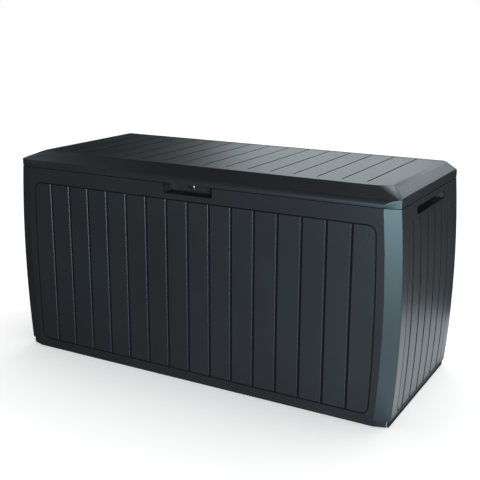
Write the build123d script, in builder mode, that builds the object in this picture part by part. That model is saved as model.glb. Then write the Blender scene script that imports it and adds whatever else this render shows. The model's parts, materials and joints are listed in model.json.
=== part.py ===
from build123d import *
import os
from math import asin, degrees, hypot

os.makedirs("parts", exist_ok=True)

# Origin: middle of the footprint, on the ground. X runs along the box, -Y is its front, +Z is up.

# The carcass
seam_length = 1136.0  # across the end panels where the lid meets them
depth = 475.0  # front face to back face
bow = 12.0  # how far an end panel bulges at mid height
bow_low = 17.0  # the bulge starts here
bow_high = 544.0  # and ends here
facet_x = 38.4  # a corner facet, along the box
facet_y = 12.2  # and across it
wall = 2.5
rim_height = 543.4  # top of the four panels
skirt_height = 17.2
skirt_inset = 2.6
seam_gap = 2.8  # the dark line between a long panel and an end panel
outside = 700.0  # blanks and cutters that run past the whole box end here
end_start = 500.0  # the right-hand end's details all lie beyond this X

# The moulded board pattern
board_pitch = 65.1
board_count = 16
board_low = 28.0
board_high = 503.4
groove_width = 8.0
groove_floor = 3.4
groove_depth = 2.0
bead_width = 14.0
bead_height = 2.5
bead_end = 3.0  # an end panel's beads stop this far inside its boards
frame_half = 521.0
frame_pinch = 6.0  # the frame line is this much shorter at its corners
frame_line = 3.4
frame_line_depth = 1.5
frame_radius = 22.0
end_board_pitch = 57.6
end_board_count = 7
end_frame_half = 185.0
end_frame_low = 22.0
collar_half = 171.0
collar_low = 489.0
shoulder_high = 469.0  # the frame line narrows to the collar between these two heights
shoulder_radius = 14.0
collar_step = 0.3  # the collar lies this much deeper than the boards' faces

# Flanges and the floor
flange_reach = 22.0
flange_drop = 15.0
ledge_reach = 20.0
ledge_top = 33.0
floor_play = 3.6
floor_rib_low = 14.0
foot_radius = 15.0
floor_rib = 2.2
floor_rib_pitch = 140.0
foot_pitch_x = 420.0
foot_pitch_y = 150.0

# Corner joints
mitre_x = 545.0
mitre_inner_x = 480.0
mitre_inner_y = 150.0
joint_play = 0.3
corner_rib_x = 540.0
corner_rib_y = 203.0
rib_thickness = 2.8
corner_low = 40.0
corner_high = 505.0
key_length = 16.0
key_web = 4.0
key_short = 5.0  # a key ends this far below the ribs

# The grip in each end panel
grip_half = 113.0
grip_low = 510.0
grip_high = 529.5
grip_depth = 34.0
grip_undercut = 7.0
grip_mouth_radius = 2.5

# The notch, the lid's tab and the lock socket behind it
notch_half = 75.0
notch_low = 517.5
notch_radius = 5.0
pocket_depth = 46.5
tab_half = 61.5
tab_low = 527.0
tab_set_back = 24.0
tab_flange_reach = 13.0
slot_width = 24.0
slot_low = 531.7
slot_height = 10.0
slot_radius = 1.2
tab_root = 8.0  # the tab's plate runs this far up inside the lid
socket_wall = 2.0
socket_play = 0.7
socket_margin = 2.7  # the socket starts this far below the slot
socket_ear = 5.5  # beyond the screws
socket_front = 27.6  # behind the front face
lock_pin_radius = 2.0
lock_pin_back = 36.0
screw_radius = 2.0
screw_head_radius = 4.0
screw_head = 2.2
screw_head_chamfer = 0.7
screw_past = 2.0  # a screw's tip stands this far out of the wall
hex_radius = 1.7
hex_depth = 1.2
lock_screw_x = 20.5

# The lid
lid_low = 545.0
lid_top = 585.0
lid_slope_run = 36.6
lid_slope_rise = 18.9
front_slope_run = 54.8
front_slope_drop = 25.2
front_roll_radius = 20.0
top_edge_radius = 35.0
ridge_radius = 5.0
corner_cut_x = 489.5
corner_cut_y = 25.7
corner_cut_run = 72.4
corner_cut_drop = 19.2
form_drop = 30.0  # the side and end outlines run on this far below the lid's edge
lid_groove = 4.0
lid_groove_depth = 1.8
lid_groove_front = 30.7  # behind the top's front edge
lid_groove_back = 14.5
lid_line_back = 10.5
lid_line_half = 506.0
lid_rib = 2.2
lid_rib_low = 567.0
lid_lip_inset = 27.0
lid_lip_low = 539.6
lid_lip_back = 150.0
lid_lip_gap = 12.0  # beyond the notch, either side
rest_length = 24.0
rest_width = 10.0
rest_pitch = 200.0

# The hinge
hinge_set = 7.0  # the axis is this far inside the lid's back face and above its lower edge
hinge_y = depth / 2 - hinge_set
hinge_z = lid_low + hinge_set
hinge_spots = (-400.0, 0.0, 400.0)
ear_radius = 6.4
ear_width = 24.0
knuckle_width = 16.0
knuckle_gap = 0.6
knuckle_root = 32.0  # a knuckle runs this far up inside the lid
pin_radius = 2.5
pin_play = 0.06
pin_head_radius = 3.5
pin_head = 2.0
pin_chamfer = 0.6
ear_window_top = 9.5
ear_window_front = 9.0
back_edge_blank = 20.0

# Worked out from the above
front = -depth / 2
seam_y = depth / 2 - facet_y
half_rise = (bow_high - bow_low) / 2
bow_middle = (bow_high + bow_low) / 2
bow_radius = (half_rise**2 + bow**2) / (2 * bow)
half_length = seam_length / 2 + bow
bow_axis_x = half_length - bow_radius
sweep = degrees(asin(half_rise / bow_radius)) + 3.0
bow_axis = Axis((bow_axis_x, 0, bow_middle), (0, -1, 0))
bow_start = Plane(origin=(bow_axis_x, 0, bow_middle)).rotated((0, sweep, 0))
pocket_back = front + pocket_depth
floor_z = ledge_top + wall
socket_y = front + socket_front
socket_low = slot_low - socket_margin
socket_middle = (socket_low + rim_height) / 2
socket_tall = rim_height - socket_low
lock_pin_y = front + lock_pin_back
top_front_y = front + front_slope_run
top_half_x = seam_length / 2 - lid_slope_run


def slab(points, low, high):
    """A flat-sided block over a plan outline, between two heights."""
    with BuildPart() as block:
        with BuildSketch(Plane.XY.offset(low)):
            with BuildLine():
                Polyline(*points, close=True)
            make_face()
        extrude(amount=high - low)
    return block.part


def cuboid(x0, x1, y0, y1, z0, z1):
    """A block given by its lowest and highest corners."""
    return slab([(x0, y0), (x1, y0), (x1, y1), (x0, y1)], z0, z1)


def bowed_block(inset, low, high):
    """The carcass's outer form, with bowed ends, inset all round and cut level at two heights."""
    facet_start = half_length - facet_x - bow_axis_x
    end = half_length - bow_axis_x
    middle = -bow_axis_x - end_start
    with BuildPart() as block:
        with BuildSketch(bow_start):
            with BuildLine():
                Polyline(
                    (middle, front),
                    (facet_start, front),
                    (end, -seam_y),
                    (end, seam_y),
                    (facet_start, -front),
                    (middle, -front),
                    close=True,
                )
            make_face()
            if inset > 0:
                offset(amount=-inset, kind=Kind.INTERSECTION, mode=Mode.REPLACE)
        revolve(axis=bow_axis, revolution_arc=2 * sweep)
        split(bisect_by=Plane.YZ, keep=Keep.TOP)
        mirror(about=Plane.YZ)
        add(cuboid(-outside, outside, -outside, outside, low, high), mode=Mode.INTERSECT)
    return block.part


def bowed_ring(outer, inner, low, high):
    """A ring that follows the carcass's outline, between two insets and two heights."""
    with BuildPart() as ring:
        add(bowed_block(outer, low, high))
        add(bowed_block(inner, low - 1, high + 1), mode=Mode.SUBTRACT)
    return ring.part


long_panel_zone = [
    (-outside, -outside),
    (outside, -outside),
    (outside, -seam_y),
    (mitre_x, -seam_y),
    (mitre_inner_x, -mitre_inner_y),
    (-mitre_inner_x, -mitre_inner_y),
    (-mitre_x, -seam_y),
    (-outside, -seam_y),
]
mitre_lean = (mitre_x - mitre_inner_x) / (seam_y - mitre_inner_y)
end_mitre_x = mitre_x - seam_gap * mitre_lean + 2 * joint_play
end_panel_zone = [
    (outside, seam_gap - seam_y),
    (end_mitre_x, seam_gap - seam_y),
    (mitre_inner_x + 2 * joint_play, -mitre_inner_y),
    (mitre_inner_x + 2 * joint_play, mitre_inner_y),
    (end_mitre_x, seam_y - seam_gap),
    (outside, seam_y - seam_gap),
]

# One ring holds the walls, the skirt, the top flange and the ledge; the panels are cut from it.
with BuildPart() as carcass:
    add(bowed_ring(0, wall, skirt_height, rim_height))
    add(bowed_ring(0, skirt_inset + wall, skirt_height, skirt_height + wall))
    add(bowed_ring(skirt_inset, skirt_inset + wall, 0, skirt_height + wall))
    add(bowed_ring(wall / 2, flange_reach, rim_height - wall, rim_height))
    add(bowed_ring(flange_reach - wall, flange_reach, rim_height - flange_drop, rim_height))
    add(bowed_ring(wall / 2, ledge_reach, ledge_top - wall, ledge_top))


def front_frame_line():
    """The frame line to cut in the front face: a rounded rectangle whose sides follow the bow."""
    middle = (board_low + board_high) / 2
    corner = frame_half - frame_pinch
    with BuildPart() as ring:
        with BuildSketch(Plane.XZ.offset(-front + 1)) as line:
            with BuildLine():
                Line((-corner, board_high), (corner, board_high))
                ThreePointArc((corner, board_high), (frame_half, middle), (corner, board_low))
                Line((corner, board_low), (-corner, board_low))
                ThreePointArc((-corner, board_low), (-frame_half, middle), (-corner, board_high))
            make_face()
            fillet(line.vertices(), frame_radius)
            offset(amount=-frame_line, mode=Mode.SUBTRACT)
        extrude(amount=-frame_line_depth - 1)
    return ring.part


def front_grooves():
    """The grooves between the boards of a long panel, to cut away; they end inside the frame line."""
    low = board_low + frame_line / 2
    with BuildPart() as grooves:
        with BuildSketch(Plane.XY.offset(low)):
            with GridLocations(board_pitch, 1, board_count - 1, 1):
                with Locations((0, front)):
                    Polygon(
                        (-groove_width / 2, -1),
                        (groove_width / 2, -1),
                        (groove_width / 2, 0),
                        (groove_floor / 2, groove_depth),
                        (-groove_floor / 2, groove_depth),
                        (-groove_width / 2, 0),
                        align=None,
                    )
        extrude(amount=board_high - frame_line / 2 - low)
    return grooves.part


def corner_tongue():
    """Strip behind the right-hand seam, which laps the end panel from inside, with its joint rib."""
    low = floor_z + joint_play
    high = rim_height - flange_drop - wall
    rib_back = joint_play / 2 - corner_rib_y
    with BuildPart() as root:
        add(bowed_ring(wall - 0.1, 2 * wall + joint_play, low, high))
        add(cuboid(end_start, outside, front, -seam_y, low, high), mode=Mode.INTERSECT)
    with BuildPart() as lap:
        add(bowed_ring(wall + joint_play, 2 * wall + joint_play, low, high))
        add(
            cuboid(end_start, outside, -seam_y - 1, rib_back - joint_play, low, high),
            mode=Mode.INTERSECT,
        )
    with BuildPart() as rib:
        add(bowed_block(wall + joint_play, corner_low, corner_high))
        rib_front = rib_back - joint_play - rib_thickness
        add(
            cuboid(
                corner_rib_x,
                outside,
                rib_front,
                rib_back - joint_play,
                corner_low,
                corner_high,
            ),
            mode=Mode.INTERSECT,
        )
    with BuildPart() as tongue:
        add(root.part)
        add(lap.part)
        add(rib.part)
    return tongue.part


def long_panel():
    """A long wall that faces -Y: boards, frame line, facets, corner tongues and joint ribs."""
    with BuildPart() as panel:
        add(carcass.part)
        add(slab(long_panel_zone, 0, rim_height), mode=Mode.INTERSECT)
        # a bead behind each groove keeps the wall as thick there as elsewhere
        with BuildSketch(Plane.XY.offset(board_low)):
            with GridLocations(board_pitch, 1, board_count - 1, 1):
                with Locations((0, front + wall + bead_height / 2 - 0.5)):
                    Rectangle(bead_width, bead_height + 1)
        extrude(amount=board_high - board_low)
        add(front_grooves(), mode=Mode.SUBTRACT)
        add(front_frame_line(), mode=Mode.SUBTRACT)
        add(corner_tongue())
        add(corner_tongue().mirror(Plane.YZ))
    return panel.part


# The front panel has the notch that the lid's tab hangs in, with a closed pocket behind it.
plain_long_panel = long_panel()

with BuildPart() as front_panel:
    add(plain_long_panel)
    add(
        cuboid(
            -notch_half - wall,
            notch_half + wall,
            front + wall / 2,
            pocket_back + wall,
            notch_low - wall,
            rim_height,
        )
    )
    with BuildSketch(Plane.XZ.offset(-front + 1)) as notch:
        with Locations((0, notch_low)):
            Rectangle(2 * notch_half, 2 * pocket_depth, align=(Align.CENTER, Align.MIN))
        fillet(notch.vertices().group_by(Axis.Y)[0], notch_radius)
    extrude(amount=-pocket_depth - 1, mode=Mode.SUBTRACT)
    with BuildSketch(Plane.XZ.offset(-pocket_back)):
        with GridLocations(2 * lock_screw_x, 1, 2, 1):
            with Locations((0, socket_middle)):
                Circle(screw_radius)
    extrude(amount=-2 * wall, mode=Mode.SUBTRACT)
front_panel.part.label = "front_panel"
export_step(front_panel.part, "parts/front_panel.step")

# The back panel carries the hinge ears.
with BuildPart() as back_panel:
    add(plain_long_panel.mirror(Plane.XZ))
    for spot in hinge_spots:
        with BuildSketch(Plane.YZ.offset(spot - ear_width / 2)):
            with Locations((hinge_y, hinge_z)):
                Circle(ear_radius)
            with Locations((hinge_y, (rim_height - wall / 2 + hinge_z) / 2)):
                Rectangle(2 * ear_radius, hinge_z - rim_height + wall / 2)
            with Locations((hinge_y, hinge_z)):
                Circle(pin_radius, mode=Mode.SUBTRACT)
        extrude(amount=ear_width)
back_panel.part.label = "back_panel"
export_step(back_panel.part, "parts/back_panel.step")


def end_frame_line(plane, depth_now):
    """The frame line on an end panel: it narrows to a collar round the grip and runs up to the rim."""
    with BuildPart() as ring:
        with BuildSketch(plane) as line:
            with BuildLine():
                Polyline(
                    (-end_frame_half, end_frame_low),
                    (end_frame_half, end_frame_low),
                    (end_frame_half, shoulder_high),
                    (collar_half, collar_low),
                    (collar_half, rim_height + frame_radius),
                    (-collar_half, rim_height + frame_radius),
                    (-collar_half, collar_low),
                    (-end_frame_half, shoulder_high),
                    close=True,
                )
            make_face()
            fillet(line.vertices().group_by(Axis.Y)[0], frame_radius)
            fillet(line.vertices().group_by(Axis.Y)[-3], shoulder_radius)
            fillet(line.vertices().group_by(Axis.Y)[-2], shoulder_radius)
            offset(amount=-frame_line, mode=Mode.SUBTRACT)
        extrude(amount=depth_now)
    return ring.part


def end_skin(depth_now):
    """The outermost layer of the bowed right-hand face, to a given depth."""
    with BuildPart() as layer:
        add(bowed_ring(-1, depth_now, 0, rim_height))
        add(cuboid(end_start, outside, -seam_y, seam_y, 0, rim_height), mode=Mode.INTERSECT)
    return layer.part


with BuildPart() as end_lines:
    add(end_frame_line(Plane.YZ.offset(end_start), outside - end_start))
    add(end_skin(frame_line_depth), mode=Mode.INTERSECT)

with BuildPart() as end_collar:
    with BuildSketch(Plane.YZ.offset(end_start)):
        with Locations((0, board_high - frame_line / 2)):
            collar_tall = rim_height - board_high + frame_line
            Rectangle(2 * collar_half - frame_line, collar_tall, align=(Align.CENTER, Align.MIN))
    extrude(amount=outside - end_start)
    add(end_skin(collar_step), mode=Mode.INTERSECT)

with BuildPart() as end_grooves:
    with BuildSketch(Plane.YZ.offset(end_start)):
        with GridLocations(end_board_pitch, 1, end_board_count - 1, 1):
            with Locations((0, end_frame_low + frame_line / 2)):
                grooves_tall = board_high - end_frame_low - frame_line
                Rectangle(groove_width, grooves_tall, align=(Align.CENTER, Align.MIN))
    extrude(amount=outside - end_start)
    add(end_skin(groove_depth), mode=Mode.INTERSECT)

with BuildPart() as end_beads:
    with BuildSketch(Plane.YZ.offset(end_start)):
        with GridLocations(end_board_pitch, 1, end_board_count - 1, 1):
            with Locations((0, (board_low + board_high) / 2)):
                Rectangle(bead_width, board_high - board_low - 2 * bead_end)
    extrude(amount=outside - end_start)
    add(bowed_ring(wall - 0.5, wall + bead_height, 0, rim_height), mode=Mode.INTERSECT)

with BuildPart() as end_ribs:
    with BuildSketch(Plane.XY.offset(corner_low)):
        with GridLocations(1, 2 * corner_rib_y - rib_thickness - joint_play, 1, 2):
            with Locations(((corner_rib_x + outside) / 2, 0)):
                Rectangle(outside - corner_rib_x, rib_thickness)
    extrude(amount=corner_high - corner_low)
    add(bowed_block(wall - 0.1, corner_low, corner_high), mode=Mode.INTERSECT)

with BuildPart() as right_end_panel:
    add(carcass.part)
    add(slab(end_panel_zone, 0, rim_height), mode=Mode.INTERSECT)
    add(end_beads.part)
    add(end_ribs.part)
    add(end_collar.part, mode=Mode.SUBTRACT)
    add(end_grooves.part, mode=Mode.SUBTRACT)
    add(end_lines.part, mode=Mode.SUBTRACT)
    # the grip is a closed pocket, higher inside than at its mouth so that fingers can hook it
    grip_x = seam_length / 2 - grip_depth
    add(
        cuboid(
            grip_x - wall,
            seam_length / 2 - 1,
            -grip_half - wall,
            grip_half + wall,
            grip_low - wall,
            grip_high + grip_undercut + wall,
        )
    )
    add(
        cuboid(
            grip_x,
            seam_length / 2 - 2 * wall,
            -grip_half,
            grip_half,
            grip_low,
            grip_high + grip_undercut,
        ),
        mode=Mode.SUBTRACT,
    )
    with BuildSketch(Plane.YZ.offset(grip_x)) as mouth:
        with Locations((0, (grip_low + grip_high) / 2)):
            Rectangle(2 * grip_half, grip_high - grip_low)
        fillet(mouth.vertices(), grip_mouth_radius)
    extrude(amount=2 * grip_depth, mode=Mode.SUBTRACT)
right_end_panel.part.label = "right_end_panel"
export_step(right_end_panel.part, "parts/right_end_panel.step")

left_end_panel = right_end_panel.part.mirror(Plane.YZ)
left_end_panel.label = "left_end_panel"
export_step(left_end_panel, "parts/left_end_panel.step")

# A channel slides down over the two ribs at each corner and locks the panels together.
for side_x, end_name in ((-1, "left"), (1, "right")):
    for side_y, face_name in ((-1, "front"), (1, "back")):
        ribs_wide = 2 * rib_thickness + 3 * joint_play
        key_y = side_y * (corner_rib_y + joint_play / 2)
        channel_x = corner_rib_x + key_length / 2
        with BuildPart() as corner_key:
            with BuildSketch(Plane.XY.offset(corner_low)):
                with Locations((side_x * (channel_x - key_web), key_y)):
                    Rectangle(key_length, ribs_wide + 2 * wall)
                with Locations((side_x * channel_x, key_y)):
                    Rectangle(key_length + joint_play, ribs_wide, mode=Mode.SUBTRACT)
            extrude(amount=corner_high - corner_low - key_short)
        name = f"{face_name}_{end_name}_corner_key"
        corner_key.part.label = name
        export_step(corner_key.part, f"parts/{name}.step")

# The floor drops in onto the ledges and stands on six feet of its own.
with BuildPart() as floor_panel:
    with BuildSketch(Plane.XY.offset(floor_rib_low)):
        with GridLocations(floor_rib_pitch, 1, 7, 1):
            Rectangle(floor_rib, 2 * depth)
        with GridLocations(1, foot_pitch_y, 1, 3):
            Rectangle(2 * seam_length, floor_rib)
    extrude(amount=floor_z - floor_rib_low)
    add(bowed_block(flange_reach + 2, 0, floor_z), mode=Mode.INTERSECT)
    with BuildSketch():
        with GridLocations(foot_pitch_x, foot_pitch_y, 3, 3):
            Circle(foot_radius)
    extrude(amount=floor_z)
    with BuildSketch():
        with GridLocations(foot_pitch_x, foot_pitch_y, 3, 3):
            Circle(foot_radius - wall)
    extrude(amount=ledge_top, mode=Mode.SUBTRACT)
    add(bowed_block(wall + floor_play, ledge_top, floor_z))
floor_panel.part.label = "floor_panel"
export_step(floor_panel.part, "parts/floor_panel.step")


def lid_form(inset, low):
    """The lid's outer form, inset all round: a plan outline, a side outline and an end outline, met."""
    half = seam_length / 2
    with BuildPart() as form:
        with BuildSketch(Plane.XY.offset(low)) as plan:
            with BuildLine():
                Polyline(
                    (-half, -seam_y),
                    (facet_x - half, front),
                    (half - facet_x, front),
                    (half, -seam_y),
                    (half, seam_y),
                    (half - facet_x, -front),
                    (facet_x - half, -front),
                    (-half, seam_y),
                    close=True,
                )
            make_face()
            if inset > 0:
                offset(amount=-inset, kind=Kind.INTERSECTION, mode=Mode.REPLACE)
        extrude(amount=lid_top - low)
        with BuildSketch(Plane.YZ.offset(-half)) as side:
            with BuildLine():
                Polyline(
                    (-front, lid_low),
                    (-front, lid_top),
                    (top_front_y, lid_top),
                    (front, lid_top - front_slope_drop),
                    (front, lid_low - form_drop),
                    (-front, lid_low - form_drop),
                    close=True,
                )
            make_face()
            fillet(side.vertices().group_by(Axis.Y)[-2], front_roll_radius)
            if inset > 0:
                offset(amount=-inset, kind=Kind.INTERSECTION, mode=Mode.REPLACE)
        extrude(amount=seam_length, mode=Mode.INTERSECT)
        with BuildSketch(Plane.XZ.offset(front)) as end:
            with BuildLine():
                Polyline(
                    (-half, lid_low - form_drop),
                    (-half, lid_top - lid_slope_rise),
                    (-top_half_x, lid_top),
                    (top_half_x, lid_top),
                    (half, lid_top - lid_slope_rise),
                    (half, lid_low - form_drop),
                    close=True,
                )
            make_face()
            if inset > 0:
                offset(amount=-inset, kind=Kind.INTERSECTION, mode=Mode.REPLACE)
            fillet(end.vertices().group_by(Axis.Y)[-2], ridge_radius)
            fillet(end.vertices().group_by(Axis.Y)[-1], top_edge_radius)
        extrude(amount=depth, mode=Mode.INTERSECT)
    return form.part


def lid_corner_cut(inset):
    """A wedge above the slanting plane that softens the lid's front right corner."""
    slant = Plane(
        origin=(corner_cut_x, top_front_y, lid_top),
        x_dir=(top_half_x - corner_cut_x, corner_cut_y, 0),
        z_dir=(
            corner_cut_y * corner_cut_drop,
            (corner_cut_x - top_half_x) * corner_cut_drop,
            corner_cut_run * hypot(top_half_x - corner_cut_x, corner_cut_y),
        ),
    )
    with BuildPart() as wedge:
        with BuildSketch(slant.offset(-inset)):
            Rectangle(depth, depth)
        extrude(amount=depth / 4)
    return wedge.part


def lid_block(inset, low):
    """The lid's outer form with both front corners cut."""
    with BuildPart() as block:
        add(lid_form(inset, low))
        add(lid_corner_cut(inset), mode=Mode.SUBTRACT)
        add(lid_corner_cut(inset).mirror(Plane.YZ), mode=Mode.SUBTRACT)
    return block.part


lid_inside = lid_block(wall, rim_height - flange_drop)
lid_core = lid_block(wall - 0.1, rim_height - flange_drop)

with BuildPart() as lid_lip:
    # it hangs inside the panels' flanges, and is left open over the notch and at the hinge
    add(bowed_ring(lid_lip_inset, lid_lip_inset + wall, lid_lip_low, lid_top))
    gap_half = notch_half + lid_lip_gap
    add(cuboid(-gap_half, gap_half, front, 0, 0, lid_low + tab_root), mode=Mode.SUBTRACT)
    add(
        cuboid(-outside, outside, lid_lip_back, outside, 0, lid_top + 1),
        mode=Mode.SUBTRACT,
    )

with BuildPart() as lid_ribs:
    # a rib under each groove, from back to front, and four long ones across them
    with BuildSketch(Plane.XY.offset(lid_rib_low)):
        with GridLocations(board_pitch, 1, board_count - 1, 1):
            Rectangle(lid_rib, 2 * depth)
        with GridLocations(1, 110, 1, 4):
            Rectangle(2 * seam_length, lid_rib)
    extrude(amount=lid_top - lid_rib_low)
    # feet that rest on the panels' flanges
    with BuildSketch(Plane.XY.offset(rim_height + joint_play)):
        with GridLocations(2 * seam_length / 3, 1, 2, 1):
            with Locations((0, front + flange_reach / 2)):
                Rectangle(rest_length, rest_width)
        with GridLocations(seam_length - flange_reach, rest_pitch, 2, 2):
            Rectangle(rest_width, rest_length)
    extrude(amount=lid_top - rim_height)
    add(lid_lip.part)
    add(lid_core, mode=Mode.INTERSECT)

with BuildPart() as knuckles:
    for spot in hinge_spots:
        for side in (-1, 1):
            inner = spot + side * (ear_width / 2 + knuckle_gap + knuckle_width / 2)
            with BuildSketch(Plane.YZ.offset(inner - knuckle_width / 2)):
                with Locations((hinge_y, hinge_z)):
                    Circle(hinge_set)
                with Locations((hinge_y, hinge_z + knuckle_root / 2)):
                    Rectangle(2 * hinge_set, knuckle_root)
                with Locations((hinge_y, hinge_z)):
                    Circle(pin_radius + pin_play, mode=Mode.SUBTRACT)
            extrude(amount=knuckle_width)

with BuildPart() as tab:
    # a plate behind the lid's front face, with a returned flange at each end
    plate_y = front + tab_set_back
    add(cuboid(-tab_half, tab_half, plate_y, plate_y + wall, tab_low, lid_low + tab_root))
    for side in (-1, 1):
        with BuildSketch(Plane.XY.offset(tab_low)):
            with Locations((side * (tab_half - wall / 2), plate_y - tab_flange_reach / 2)):
                Rectangle(wall, tab_flange_reach + 1)
        extrude(amount=lid_low + tab_root - tab_low)
    add(cuboid(-tab_half, tab_half, front + wall / 2, plate_y + wall, lid_low, lid_low + 3))
    with BuildSketch(Plane.XZ.offset(-front)) as slot:
        with Locations((0, slot_low + slot_height / 2)):
            Rectangle(slot_width, slot_height)
        fillet(slot.vertices(), slot_radius)
    extrude(amount=-pocket_depth, mode=Mode.SUBTRACT)

with BuildPart() as top_lines:
    with BuildSketch(Plane.XY.offset(lid_top + 1)):
        groove_front = top_front_y + lid_groove_front
        groove_back = -front - lid_groove_back
        with GridLocations(board_pitch, 1, board_count - 1, 1):
            with Locations((0, (groove_front + groove_back) / 2)):
                Rectangle(lid_groove, groove_back - groove_front)
        with Locations((0, -front - lid_line_back - lid_groove / 2)):
            Rectangle(2 * lid_line_half, lid_groove)
    extrude(amount=-lid_groove_depth - 1)

with BuildPart() as lid:
    add(lid_block(0, lid_low))
    # the back edge is rounded about the hinge axis, so that it clears the panels as it turns
    with BuildSketch(Plane.YZ.offset(-seam_length / 2)):
        with Locations((hinge_y, hinge_z)):
            Rectangle(back_edge_blank, back_edge_blank, align=(Align.MIN, Align.MAX))
            Circle(hinge_set, mode=Mode.SUBTRACT)
    extrude(amount=seam_length, mode=Mode.SUBTRACT)
    add(lid_inside, mode=Mode.SUBTRACT)
    add(lid_ribs.part)
    add(tab.part)
    add(knuckles.part)
    add(top_lines.part, mode=Mode.SUBTRACT)
    # windows in the back edge that the panel's ears stand in
    for spot in hinge_spots:
        half = ear_width / 2 + knuckle_gap
        add(
            cuboid(
                spot - half,
                spot + half,
                hinge_y - ear_window_front,
                -front + 1,
                lid_low - 1,
                hinge_z + ear_window_top,
            ),
            mode=Mode.SUBTRACT,
        )
lid.part.label = "lid"
export_step(lid.part, "parts/lid.step")

for spot, name in zip(hinge_spots, ("left", "middle", "right")):
    with BuildPart() as hinge_pin:
        reach = ear_width / 2 + knuckle_gap + knuckle_width + joint_play
        with BuildSketch(Plane.YZ.offset(spot - reach)):
            with Locations((hinge_y, hinge_z)):
                Circle(pin_radius)
        extrude(amount=2 * reach)
        with BuildSketch(Plane.YZ.offset(spot + reach)):
            with Locations((hinge_y, hinge_z)):
                Circle(pin_head_radius)
        extrude(amount=pin_head)
        chamfer(hinge_pin.edges().filter_by(GeomType.CIRCLE).sort_by(Axis.X)[0], pin_chamfer)
    hinge_pin.part.label = f"{name}_hinge_pin"
    export_step(hinge_pin.part, f"parts/{name}_hinge_pin.step")

# The lock socket stands on the pocket's back wall, behind the tab's slot.
with BuildPart() as lock_socket:
    with BuildSketch(Plane.XZ.offset(-socket_y)):
        with Locations((0, socket_middle)):
            opening = slot_width + 2 * socket_play
            Rectangle(opening + 2 * socket_wall, socket_tall)
            Rectangle(opening, socket_tall - 2 * socket_wall, mode=Mode.SUBTRACT)
    extrude(amount=socket_y - pocket_back)
    with BuildSketch(Plane.XZ.offset(-pocket_back)):
        with Locations((0, socket_middle)):
            Rectangle(2 * (lock_screw_x + socket_ear), socket_tall)
        with Locations((-lock_screw_x, socket_middle), (lock_screw_x, socket_middle)):
            Circle(screw_radius, mode=Mode.SUBTRACT)
    extrude(amount=socket_wall)
    with BuildSketch(Plane.XY.offset(socket_low)):
        with Locations((0, lock_pin_y)):
            Circle(lock_pin_radius)
    extrude(amount=socket_tall, mode=Mode.SUBTRACT)
lock_socket.part.label = "lock_socket"
export_step(lock_socket.part, "parts/lock_socket.step")

with BuildPart() as lock_pin:
    with BuildSketch(Plane.XY.offset(socket_low)):
        with Locations((0, lock_pin_y)):
            Circle(lock_pin_radius)
    extrude(amount=socket_tall)
lock_pin.part.label = "lock_pin"
export_step(lock_pin.part, "parts/lock_pin.step")

with BuildPart() as lock_screws:
    head_y = pocket_back - socket_wall
    with BuildSketch(Plane.XZ.offset(-head_y)):
        with Locations((-lock_screw_x, socket_middle), (lock_screw_x, socket_middle)):
            Circle(screw_radius)
    extrude(amount=head_y - pocket_back - wall - screw_past)
    with BuildSketch(Plane.XZ.offset(-head_y)):
        with Locations((-lock_screw_x, socket_middle), (lock_screw_x, socket_middle)):
            Circle(screw_head_radius)
    extrude(amount=screw_head)
    heads = lock_screws.faces().filter_by(Axis.Y).group_by(Axis.Y)[0]
    chamfer(heads.edges(), screw_head_chamfer)
    with BuildSketch(Plane.XZ.offset(-head_y + screw_head)):
        with Locations((-lock_screw_x, socket_middle), (lock_screw_x, socket_middle)):
            RegularPolygon(hex_radius, 6)
    extrude(amount=-hex_depth, mode=Mode.SUBTRACT)
lock_screws.part.label = "lock_screws"
export_step(lock_screws.part, "parts/lock_screws.step")
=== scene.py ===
import json
import math

import bmesh
import bpy
from mathutils import Matrix, Vector

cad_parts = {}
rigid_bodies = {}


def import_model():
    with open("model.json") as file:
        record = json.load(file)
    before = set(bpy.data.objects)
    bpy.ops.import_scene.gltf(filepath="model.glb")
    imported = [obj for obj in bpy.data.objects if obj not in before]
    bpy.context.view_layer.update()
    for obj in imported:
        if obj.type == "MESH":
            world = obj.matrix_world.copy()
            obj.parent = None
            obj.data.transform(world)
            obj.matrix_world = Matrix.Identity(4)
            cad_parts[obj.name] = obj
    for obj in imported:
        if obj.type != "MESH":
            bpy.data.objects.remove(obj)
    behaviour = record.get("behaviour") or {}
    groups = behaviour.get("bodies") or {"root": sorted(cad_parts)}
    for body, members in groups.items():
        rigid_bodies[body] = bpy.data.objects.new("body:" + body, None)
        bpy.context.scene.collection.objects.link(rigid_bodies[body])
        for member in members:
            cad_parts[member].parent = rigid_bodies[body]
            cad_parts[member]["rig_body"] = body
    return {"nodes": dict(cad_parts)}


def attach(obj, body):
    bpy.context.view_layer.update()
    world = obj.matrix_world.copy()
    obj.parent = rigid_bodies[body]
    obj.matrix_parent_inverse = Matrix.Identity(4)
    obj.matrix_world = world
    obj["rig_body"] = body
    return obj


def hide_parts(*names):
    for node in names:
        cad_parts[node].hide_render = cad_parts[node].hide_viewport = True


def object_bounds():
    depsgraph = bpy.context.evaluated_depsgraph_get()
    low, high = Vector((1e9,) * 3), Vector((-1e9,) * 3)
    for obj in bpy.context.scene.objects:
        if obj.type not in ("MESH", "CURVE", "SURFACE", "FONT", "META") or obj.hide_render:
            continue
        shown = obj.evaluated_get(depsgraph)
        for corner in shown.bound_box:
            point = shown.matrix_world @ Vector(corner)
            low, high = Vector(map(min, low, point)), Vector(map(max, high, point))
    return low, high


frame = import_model()
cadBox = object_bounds()
scene = bpy.context.scene
scene.view_settings.view_transform = "Standard"
print("frame loaded:", len(frame["nodes"]), "nodes")


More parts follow.
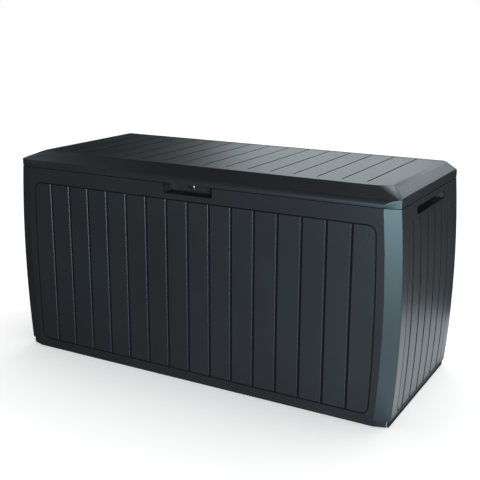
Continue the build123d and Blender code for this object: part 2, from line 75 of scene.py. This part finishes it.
class Wire:
    # a socket in a node tree; sums and products of wires add Math nodes

    def __init__(self, tree, socket=None):
        self.tree = tree
        self.socket = socket

    def node(self, kind, settings=None, inputs=None, output=0):
        made = self.tree.nodes.new(kind)
        for name, value in (settings or {}).items():
            setattr(made, name, value)
        for name, value in (inputs or {}).items():
            self.feed(made.inputs[name], value)
        return Wire(self.tree, made.outputs[output] if made.outputs else None)

    def feed(self, socket, value):
        if isinstance(value, Wire):
            self.tree.links.new(value.socket, socket)
        else:
            socket.default_value = value

    def maths(self, operation, *values):
        return self.node("ShaderNodeMath", {"operation": operation}, dict(enumerate(values)))

    def __add__(self, other):
        return self.maths("ADD", self, other)

    def __sub__(self, other):
        return self.maths("SUBTRACT", self, other)

    def __rsub__(self, other):
        return self.maths("SUBTRACT", other, self)

    def __mul__(self, other):
        return self.maths("MULTIPLY", self, other)

    __radd__ = __add__
    __rmul__ = __mul__

    def output(self, name):
        return Wire(self.tree, self.socket.node.outputs[name])

    def clamped(self):
        return self.node("ShaderNodeClamp", None, {0: self})


def between(value, low, high, soft):
    # 1 where value lies from low to high, with a soft edge
    rising = ((value - low) * (1 / soft)).clamped()
    falling = ((high - value) * (1 / soft)).clamped()
    return rising * falling


plasticLook = {
    "dark": (0.0082, 0.0074, 0.0080, 1),  # anthracite, at the two ends of the colour's drift
    "pale": (0.0106, 0.0101, 0.0112, 1),
    # painted shade: the dark matte colour laid into the grooves
    "groove": (0.004, 0.004, 0.005, 1),
    "sheen": (0.60, 0.90, 1.0, 1),  # tints what the surface reflects
    "driftScale": 3.2,  # cells to the metre, as the grains' are
    "driftDetail": 3.0,
    "driftStart": 0.35,
    "driftContrast": 2.5,
    "coarseScale": 330.0,
    "coarseDetail": 2.0,
    "coarseShare": 0.65,
    "fineScale": 900.0,
    "fineDetail": 1.0,
    "grainHeight": 0.00026,
    "smoothHeight": 0.00005,
    "ior": 1.5,
    "rough": 0.42,
    "roughDrift": 0.06,
    "roughSmooth": 0.39,
}


def newMaterial(name):
    made = bpy.data.materials.new(name)
    made.use_nodes = True
    tree = made.node_tree
    tree.nodes.clear()
    return made, Wire(tree)


def finishMaterial(start, shader):
    start.node("ShaderNodeOutputMaterial", None, {"Surface": shader})


def noise(start, place, scale, detail):
    return start.node("ShaderNodeTexNoise", None,
                      {"Vector": place, "Scale": scale, "Detail": detail})


def plastic(name, grainArea, grooveArea):
    # moulded plastic: fine grain inside the board area, smoother round it, and painted shade in
    # its grooves: a dark matte band in place of the gloss
    look = plasticLook
    made, start = newMaterial(name)
    place = start.node("ShaderNodeTexCoord", output="Object")
    split = start.node("ShaderNodeSeparateXYZ", None, {0: place})
    axes = [split.output(axis) for axis in "XYZ"]
    drift = noise(start, place, look["driftScale"], look["driftDetail"])
    coarse = noise(start, place, look["coarseScale"], look["coarseDetail"])
    fine = noise(start, place, look["fineScale"], look["fineDetail"])
    mask = grainArea(axes)
    height = mask * look["grainHeight"] + look["smoothHeight"]
    grain = (coarse * look["coarseShare"] + fine * (1 - look["coarseShare"])) * height
    bump = start.node("ShaderNodeBump", None,
                      {"Strength": 1.0, "Distance": 1.0, "Height": grain})
    paleShare = ((drift - look["driftStart"]) * look["driftContrast"]).clamped()
    colour = start.node("ShaderNodeMix", {"data_type": "RGBA"},
                        {0: paleShare, 6: look["dark"], 7: look["pale"]}, output=2)
    rough = (mask * (look["rough"] - look["roughSmooth"]) + look["roughSmooth"]
             + (drift - 0.5) * look["roughDrift"])
    shader = start.node("ShaderNodeBsdfPrincipled", None,
                        {"Base Color": colour, "Roughness": rough, "Normal": bump,
                         "IOR": look["ior"], "Specular Tint": look["sheen"]})
    # painted shade: a dark matte shader stands in for the shade that falls in the grooves
    paintedGrooveShade = start.node("ShaderNodeBsdfDiffuse", None, {"Color": look["groove"]})
    finishMaterial(start, start.node("ShaderNodeMixShader", None,
                                     {0: grooveArea(axes), 1: shader, 2: paintedGrooveShade}))
    return made


steelLook = {
    "colour": (0.52, 0.53, 0.54, 1),
    "brushScale": 900.0,
    "brushDetail": 3.0,
    "brushRough": 0.2,
    "bumpStrength": 0.4,
    "bumpHeight": 0.0002,
    "pinRough": 0.28,
    "screwRough": 0.22,
}


def steel(name, roughness):
    made, start = newMaterial(name)
    place = start.node("ShaderNodeTexCoord", output="Object")
    brushed = noise(start, place, steelLook["brushScale"], steelLook["brushDetail"])
    bump = start.node("ShaderNodeBump", None,
                      {"Strength": steelLook["bumpStrength"],
                       "Distance": steelLook["bumpHeight"], "Height": brushed})
    shader = start.node("ShaderNodeBsdfPrincipled", None,
                        {"Base Color": steelLook["colour"], "Metallic": 1.0, "Normal": bump,
                         "Roughness": brushed * steelLook["brushRough"] + roughness})
    finishMaterial(start, shader)
    return made


# where the grain lies, in metres
boardArea = {
    "halfX": 0.516,
    "halfY": 0.183,
    "low": 0.025,
    "high": 0.499,
    "lidDepth": 0.0015,  # the lid's grain reaches this far below its top
    "soft": 0.003,
    "lidSoft": 0.001,
}

halfLength, halfDepth, lidTop = cadBox[1]


def boards(across, half, z):
    wide = between(across, -half, half, boardArea["soft"])
    return wide * between(z, boardArea["low"], boardArea["high"], boardArea["soft"])


def longBoards(axes):
    x, y, z = axes
    return boards(x, boardArea["halfX"], z)


def endBoards(axes):
    x, y, z = axes
    return boards(y, boardArea["halfY"], z)


def lidBoards(axes):
    x, y, z = axes
    return between(z, lidTop - boardArea["lidDepth"], 1.0, boardArea["lidSoft"])


def everywhere(axes):
    return 1.0


def nowhere(axes):
    return 0.0


# the band of painted shade in each groove, in metres
grooveLook = {
    "from": 0.0009,  # below the outer face
    "to": 0.0022,
    "soft": 0.0002,
    "edgeSoft": 0.001,
    "frameX": 0.523,
    "frameY": 0.187,
    "lidX": 0.510,
    "lidFront": -0.170,
    "lidBack": 0.232,
    "bow": 0.012,
    "bowHalf": 0.2635,
    "bowMiddle": 0.2805,
}


def sunk(below):
    return between(below, grooveLook["from"], grooveLook["to"], grooveLook["soft"])


# painted shade: these masks mark where the grooves are painted dark
def longGrooveShade(axes):
    x, y, z = axes
    flat = between(x, -grooveLook["frameX"], grooveLook["frameX"], grooveLook["edgeSoft"])
    return sunk(halfDepth - y.maths("ABSOLUTE", y)) * flat


def endGrooveShade(axes):
    # the depth is measured from the bowed face, whose section is an arc
    x, y, z = axes
    bow, half = grooveLook["bow"], grooveLook["bowHalf"]
    radius = (half * half + bow * bow) / (2 * bow)
    rise = z - grooveLook["bowMiddle"]
    arc = z.maths("SQRT", radius * radius - rise * rise)
    face = arc + (halfLength - radius)
    flat = between(y, -grooveLook["frameY"], grooveLook["frameY"], grooveLook["edgeSoft"])
    return sunk(face - x.maths("ABSOLUTE", x)) * flat


def lidGrooveShade(axes):
    x, y, z = axes
    soft = grooveLook["edgeSoft"]
    flat = (between(x, -grooveLook["lidX"], grooveLook["lidX"], soft)
            * between(y, grooveLook["lidFront"], grooveLook["lidBack"], soft))
    return sunk(lidTop - z) * flat


longPlastic = plastic("longPanelPlastic", longBoards, longGrooveShade)
endPlastic = plastic("endPanelPlastic", endBoards, endGrooveShade)
lidPlastic = plastic("lidPlastic", lidBoards, lidGrooveShade)
innerPlastic = plastic("innerPlastic", everywhere, nowhere)
pinSteel = steel("pinSteel", steelLook["pinRough"])
screwSteel = steel("screwSteel", steelLook["screwRough"])
print("materials made")

edgeLook = {
    "merge": 0.00001,
    "flat": math.radians(0.5),
    "sharp": math.radians(24),
    "longSharp": math.radians(12),  # enough for an edge longer than longEdge
    "longEdge": 0.03,
    "width": 0.0006,
    "segments": 2,
}


def isSharp(edge, longSharp):
    if len(edge.link_faces) != 2:
        return False
    angle = edge.calc_face_angle(0)
    isLong = edge.calc_length() > edgeLook["longEdge"]
    return angle > edgeLook["sharp"] or (isLong and angle > longSharp)


def refined(node, name, material, longSharp):
    # a merged copy of a CAD node with its sharp edges rounded
    shown = frame["nodes"][node]
    mesh = shown.data.copy()
    mesh.name = name
    mesh.materials.clear()
    mesh.materials.append(material)
    bm = bmesh.new()
    bm.from_mesh(mesh)
    bmesh.ops.remove_doubles(bm, verts=bm.verts, dist=edgeLook["merge"])
    bmesh.ops.dissolve_limit(bm, angle_limit=edgeLook["flat"], verts=bm.verts, edges=bm.edges)
    sharp = [edge for edge in bm.edges if isSharp(edge, longSharp)]
    bmesh.ops.bevel(bm, geom=sharp, offset=edgeLook["width"], affect="EDGES",
                    segments=edgeLook["segments"], profile=0.5, material=-1,
                    clamp_overlap=True)
    for face in bm.faces:
        face.smooth = True
        face.material_index = 0
    print(name, "sharp", len(sharp), "faces", len(bm.faces))
    bm.to_mesh(mesh)
    bm.free()
    piece = bpy.data.objects.new(name, mesh)
    scene.collection.objects.link(piece)
    normals = piece.modifiers.new("weightedNormals", "WEIGHTED_NORMAL")
    normals.keep_sharp = True
    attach(piece, shown["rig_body"])
    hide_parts(node)


# the lid's shallow edges aren't rounded, so its front corners stay soft
panels = {
    "front_panel": ("frontPanel", longPlastic, "wall_plastic", edgeLook["longSharp"]),
    "back_panel": ("backPanel", longPlastic, "wall_plastic", edgeLook["longSharp"]),
    "left_end_panel": ("leftEndPanel", endPlastic, "wall_plastic", edgeLook["longSharp"]),
    "right_end_panel": ("rightEndPanel", endPlastic, "wall_plastic", edgeLook["longSharp"]),
    "lid": ("lidShell", lidPlastic, "lid_plastic", edgeLook["sharp"]),
}
for node, (name, material, slotName, longSharp) in panels.items():
    refined(node, name, material, longSharp)

for node, shown in frame["nodes"].items():
    if node in panels:
        continue
    finish = innerPlastic
    if node.endswith("hinge_pin") or node == "lock_pin":
        finish = pinSteel
    if node == "lock_screws":
        finish = screwSteel
    shown.data.materials.clear()
    shown.data.materials.append(finish)
print("panels and lid made")

studio = {
    "floorSize": 60.0,
    "floorGlow": 0.42,  # what the floor shows in full shade
    "floorPaint": 0.85,
    "floorDark": (0.05, 0.05, 0.05, 1),  # the floor as the box sees it
    "ambient": (0.012, 0.013, 0.014, 1),
    "backdrop": (1.0, 1.0, 1.0, 1),
    "light": (0.90, 0.97, 1.0),
    "aim": (0.0, 0.0, 0.35),
    "reach": 5.0,  # from the aim to each hanging lamp
    "panelLift": 0.002,  # the floor panels lie this far above the floor
}

# azimuth runs from straight behind the box towards its right end
hangingLamps = {
    "frontLamp": {"azimuth": 160, "rise": 8, "size": (1.8, 1.8), "radiance": 27.0},
    "frontRightLamp": {"azimuth": 141, "rise": 8, "size": (1.8, 1.8), "radiance": 34.0},
    "rearLamp": {"azimuth": -9, "rise": 28, "size": (3.6, 1.8), "radiance": 2.8},
    "rearTopLamp": {"azimuth": 0, "rise": 50, "size": (1.8, 1.8), "radiance": 0.8},
    "rearLowLamp": {"azimuth": -20, "rise": 8, "size": (1.8, 1.8), "radiance": 1.2},
    "leftLamp": {"azimuth": -80, "rise": 20, "size": (3.6, 1.8), "radiance": 3.0},
    "backRightLamp": {"azimuth": 62, "rise": 12, "size": (3.6, 1.8), "radiance": 3.0},
}

# panels that lie on the floor beside the right end and face up
floorPanels = {
    "nearGlow": {"x": (0.58, 1.0), "y": (-0.6, 0.6), "radiance": 1.6},
    "farGlow": {"x": (1.0, 2.0), "y": (-0.8, 1.5), "radiance": 0.4},
}

# lights the floor alone, so that only this sun draws the box's shadow
shadowSun = {"azimuth": 20, "rise": 70, "spread": 90, "strength": 2.75}


def paleFloor():
    bm = bmesh.new()
    bmesh.ops.create_grid(bm, x_segments=1, y_segments=1, size=studio["floorSize"] / 2)
    mesh = bpy.data.meshes.new("floor")
    bm.to_mesh(mesh)
    bm.free()
    floor = bpy.data.objects.new("floor", mesh)
    scene.collection.objects.link(floor)
    made, start = newMaterial("paleFloor")
    seen = start.node("ShaderNodeLightPath", output="Is Camera Ray")
    white = [studio["floorPaint"]] * 3 + [1]
    painted = start.node("ShaderNodeBsdfPrincipled", None,
                         {"Base Color": white, "Roughness": 1.0, "Specular IOR Level": 0.0,
                          "Emission Color": (1, 1, 1, 1),
                          "Emission Strength": studio["floorGlow"]})
    dark = start.node("ShaderNodeBsdfDiffuse", None, {"Color": studio["floorDark"]})
    finishMaterial(start, start.node("ShaderNodeMixShader", None, {0: seen, 1: dark, 2: painted}))
    mesh.materials.append(made)
    return floor


def addLamp(name, data, place, turn):
    lamp = bpy.data.objects.new(name, data)
    scene.collection.objects.link(lamp)
    lamp.location = place
    lamp.rotation_euler = turn
    lamp.visible_camera = False
    return lamp


def hang(name, data, azimuth, rise):
    # a lamp at a bearing and a height round the box, aimed at its middle
    turn, lift = math.radians(azimuth), math.radians(rise)
    away = Vector((math.sin(turn) * math.cos(lift), math.cos(turn) * math.cos(lift),
                   math.sin(lift)))
    place = Vector(studio["aim"]) + away * studio["reach"]
    return addLamp(name, data, place, away.to_track_quat("Z", "Y").to_euler())


def softbox(name, size, radiance):
    data = bpy.data.lights.new(name, "AREA")
    data.shape = "RECTANGLE"
    data.size, data.size_y = size
    data.energy = math.pi * size[0] * size[1] * radiance
    data.color = studio["light"]
    return data


def linkLight(lamp, floor, state):
    # INCLUDE lights the floor alone, EXCLUDE lights everything but the floor
    group = bpy.data.collections.new(lamp.name + "Group")
    group.objects.link(floor)
    group.collection_objects[0].light_linking.link_state = state
    lamp.light_linking.receiver_collection = group


def lightBox(floor):
    for name, lamp in hangingLamps.items():
        data = softbox(name, lamp["size"], lamp["radiance"])
        linkLight(hang(name, data, lamp["azimuth"], lamp["rise"]), floor, "EXCLUDE")
    for name, lamp in floorPanels.items():
        (left, right), (near, far) = lamp["x"], lamp["y"]
        data = softbox(name, (right - left, far - near), lamp["radiance"])
        place = ((left + right) / 2, (near + far) / 2, studio["panelLift"])
        linkLight(addLamp(name, data, place, (math.pi, 0, 0)), floor, "EXCLUDE")
    data = bpy.data.lights.new("shadowSun", "SUN")
    data.energy = shadowSun["strength"]
    data.angle = math.radians(shadowSun["spread"])
    linkLight(hang("shadowSun", data, shadowSun["azimuth"], shadowSun["rise"]), floor, "INCLUDE")


def backdropWorld():
    world = bpy.data.worlds.new("studio")
    scene.world = world
    world.use_nodes = True
    tree = world.node_tree
    tree.nodes.clear()
    start = Wire(tree)
    seen = start.node("ShaderNodeLightPath", output="Is Camera Ray")
    dim = start.node("ShaderNodeBackground", None, {"Color": studio["ambient"], "Strength": 1.0})
    bright = start.node("ShaderNodeBackground", None,
                        {"Color": studio["backdrop"], "Strength": 1.0})
    both = start.node("ShaderNodeMixShader", None, {0: seen, 1: dim, 2: bright})
    start.node("ShaderNodeOutputWorld", None, {"Surface": both})


lightBox(paleFloor())
backdropWorld()
print("floor and lights made")

viewpoint = {
    "place": (1.15966, -2.03028, 0.97216),
    "yaw": -0.50993,
    "pitch": 0.26228,
    "roll": 0.00442,
    "lens": 63.57,
    "sensor": 36.0,
    "clipEnd": 200.0,
}


def studioCamera():
    yaw, pitch, roll = viewpoint["yaw"], viewpoint["pitch"], viewpoint["roll"]
    data = bpy.data.cameras.new("camera")
    data.lens = viewpoint["lens"]
    data.sensor_width = viewpoint["sensor"]
    data.clip_end = viewpoint["clipEnd"]
    camera = bpy.data.objects.new("camera", data)
    scene.collection.objects.link(camera)
    turn = (Matrix.Rotation(-yaw, 4, "Z") @ Matrix.Rotation(math.pi / 2 - pitch, 4, "X")
            @ Matrix.Rotation(roll, 4, "Z"))
    camera.matrix_world = Matrix.Translation(viewpoint["place"]) @ turn
    scene.camera = camera


studioCamera()
